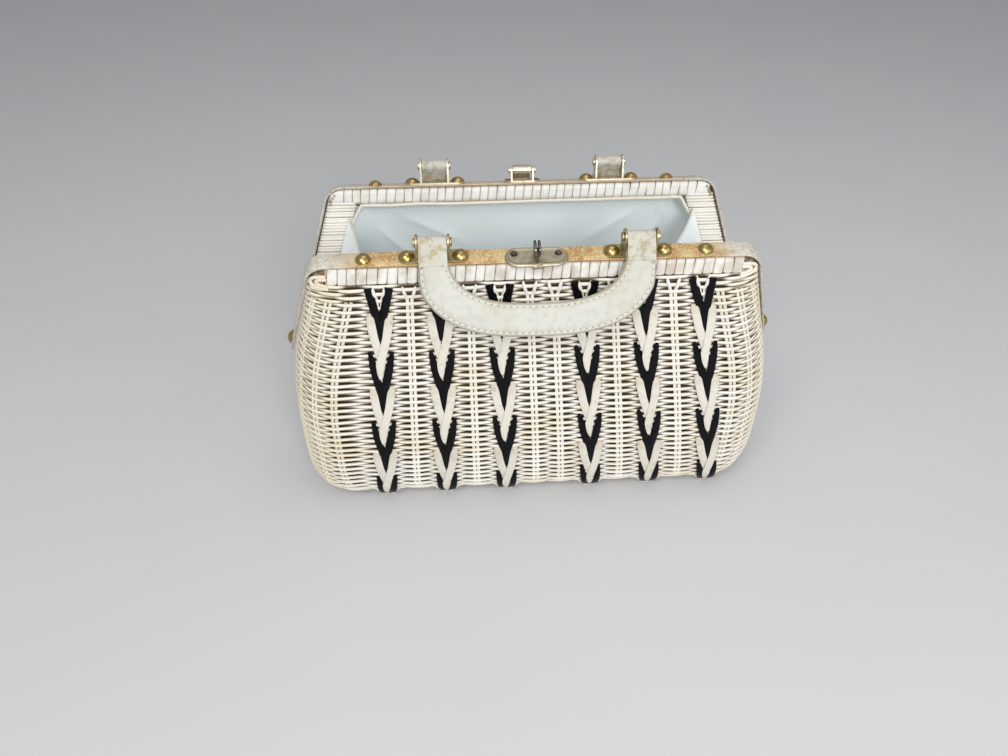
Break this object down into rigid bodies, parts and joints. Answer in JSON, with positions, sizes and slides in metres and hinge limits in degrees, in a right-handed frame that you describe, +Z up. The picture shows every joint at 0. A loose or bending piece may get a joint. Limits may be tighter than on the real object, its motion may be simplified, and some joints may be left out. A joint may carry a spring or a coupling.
{
  "type": "wicker handbag",
  "caption": "Clamshell handbag of white painted wicker with black and white ribbon braids, leather-bound jaws, D-shaped leather handles, a turn-knob clasp and a vinyl lining.",
  "frame": {"origin": "on the floor, under the middle of the bottom seam", "axes": "+X across the bag to the right as seen from the front, +Y to the rear half, +Z up; the front half with the clasp plate faces -Y"},
  "size_m": [0.3052, 0.164, 0.185],
  "materials": {
    "wicker": "white paint worn and yellowed over round reed",
    "cane_binding": "white painted flat cane, satin",
    "rail_wood": "bare bent wood",
    "strip_leather": "worn tan leather, paint left at the corners",
    "black_ribbon": "glossy vinyl ribbon",
    "white_ribbon": "satin vinyl ribbon, soiled",
    "brass_nail": "polished, slightly tarnished",
    "pale_brass": "pale plated sheet, worn",
    "nickel_plate": "gilt nickel, bevelled rim",
    "dark_nail": "dulled small nails",
    "dark_nickel": "darkened nickel",
    "hasp_gilt": "pale gilt",
    "handle_leather": "off-white grained leather, stitched along both edges",
    "lining_vinyl": "pale blue-white vinyl sheet",
    "piping_vinyl": "cream vinyl piping"
  },
  "bodies": {
    "rear_half": {"rear_shell": "wicker", "rear_rail": "rail_wood", "rear_binding": "cane_binding", "rear_strip": "strip_leather", "rear_black_ribbon": "black_ribbon", "rear_white_ribbon": "white_ribbon", "rear_strip_nails": "brass_nail", "rear_bracket_left": "pale_brass", "rear_bracket_right": "pale_brass", "rear_bracket_nails": "brass_nail", "rear_handle_pins": "pale_brass", "rear_lining": "lining_vinyl", "rear_piping": "piping_vinyl", "rear_hinge_loops": "wicker", "hasp_bracket": "pale_brass", "hasp_nails": "dark_nail", "hasp_pin": "pale_brass", "hinge_rod": "cane_binding", "left_gusset": "lining_vinyl", "right_gusset": "lining_vinyl"},
    "front_half": {"front_shell": "wicker", "front_rail": "rail_wood", "front_binding": "cane_binding", "front_strip": "strip_leather", "front_black_ribbon": "black_ribbon", "front_white_ribbon": "white_ribbon", "front_strip_nails": "brass_nail", "front_bracket_left": "pale_brass", "front_bracket_right": "pale_brass", "front_bracket_nails": "brass_nail", "front_handle_pins": "pale_brass", "front_lining": "lining_vinyl", "front_piping": "piping_vinyl", "front_hinge_loops": "wicker", "clasp_plate": "nickel_plate", "clasp_nails": "dark_nail"},
    "front_handle": {"front_handle": "handle_leather"},
    "rear_handle": {"rear_handle": "handle_leather"},
    "turn_knob": {"turn_knob": "dark_nickel"},
    "hasp": {"hasp": "hasp_gilt"}
  },
  "joints": [
    {"name": "mouth", "type": "hinge", "parent": "rear_half", "child": "front_half", "pos_m": [0, 0, 0.00869], "axis": [-1, 0, 0], "range_deg": [0, 30], "deforming": ["left_gusset", "right_gusset"]},
    {"name": "front_handle_swing", "type": "hinge", "parent": "front_half", "child": "front_handle", "pos_m": [0, -0.0524, 0.18048], "axis": [-1, 0, 0], "range_deg": [0, 135]},
    {"name": "rear_handle_swing", "type": "hinge", "parent": "rear_half", "child": "rear_handle", "pos_m": [0, 0.0524, 0.18048], "axis": [1, 0, 0], "range_deg": [0, 135]},
    {"name": "knob_turn", "type": "hinge", "parent": "front_half", "child": "turn_knob", "pos_m": [0, -0.05198, 0.16869], "axis": [0, -0.2588, 0.9659], "range_deg": [0, 90]},
    {"name": "hasp_swing", "type": "hinge", "parent": "rear_half", "child": "hasp", "pos_m": [0, 0.05136, 0.17662], "axis": [1, 0, 0], "range_deg": [0, 244]}
  ]
}
